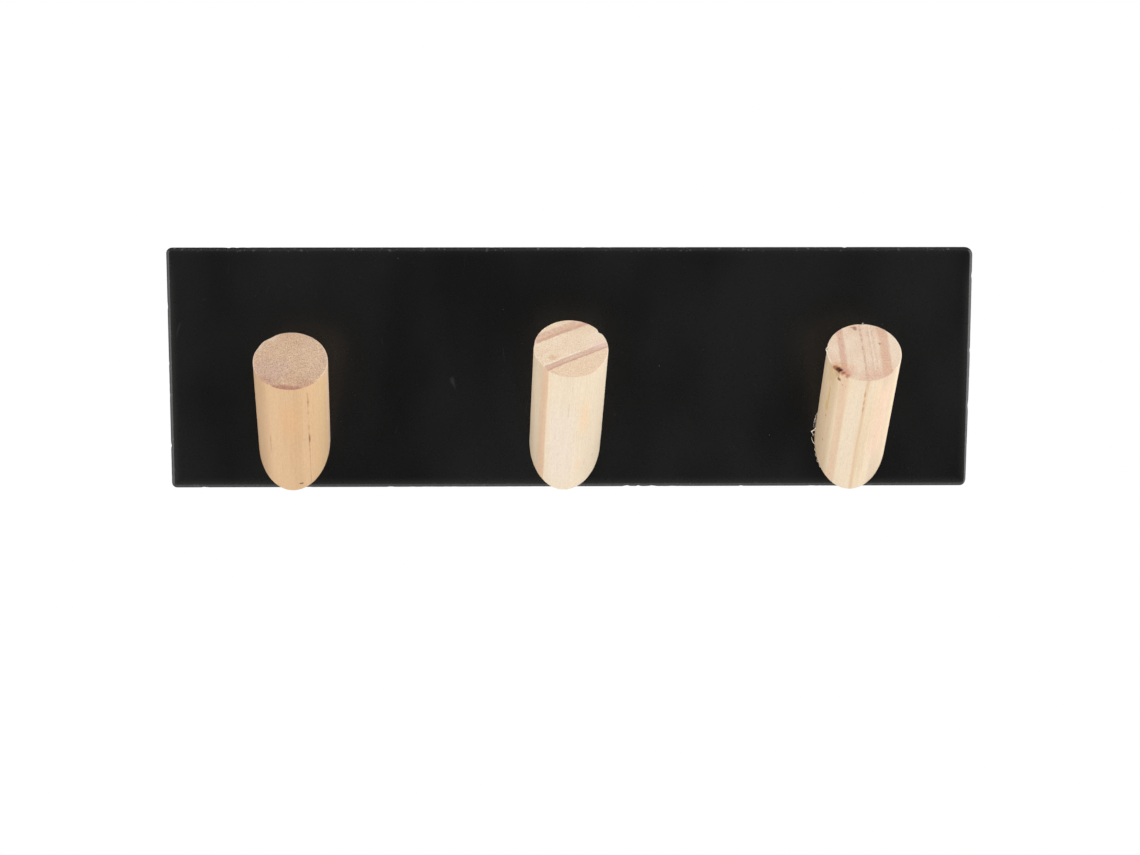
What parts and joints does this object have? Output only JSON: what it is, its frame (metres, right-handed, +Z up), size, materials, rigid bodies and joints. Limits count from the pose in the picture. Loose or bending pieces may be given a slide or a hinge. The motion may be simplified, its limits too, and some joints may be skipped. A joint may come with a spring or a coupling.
{
  "type": "wall hook rack",
  "caption": "Long black plate with slanting round wooden pegs along its lower edge, stuck to a wall to hang coats, towels and bags.",
  "frame": {"origin": "middle of the rack on the face of the foam tape that meets the wall", "axes": "+X to the right along the rack as seen from the front, +Y into the wall, +Z up; the pegs point to -Y"},
  "size_m": [0.27, 0.0457, 0.082],
  "materials": {
    "black_paint": "satin black coat on steel sheet",
    "warm_wood": "bare sanded softwood, honey tone",
    "pale_wood": "bare sanded softwood, pale cream tone",
    "zinc_steel": "bright zinc plate",
    "foam_tape": "white closed-cell foam with a clear adhesive film"
  },
  "bodies": {
    "root": {"back_plate": "black_paint", "peg_left": "warm_wood", "peg_middle": "pale_wood", "peg_right": "pale_wood", "screw_left": "zinc_steel", "screw_middle": "zinc_steel", "screw_right": "zinc_steel", "tape_upper": "foam_tape", "tape_middle": "foam_tape", "tape_lower": "foam_tape"}
  },
  "joints": []
}
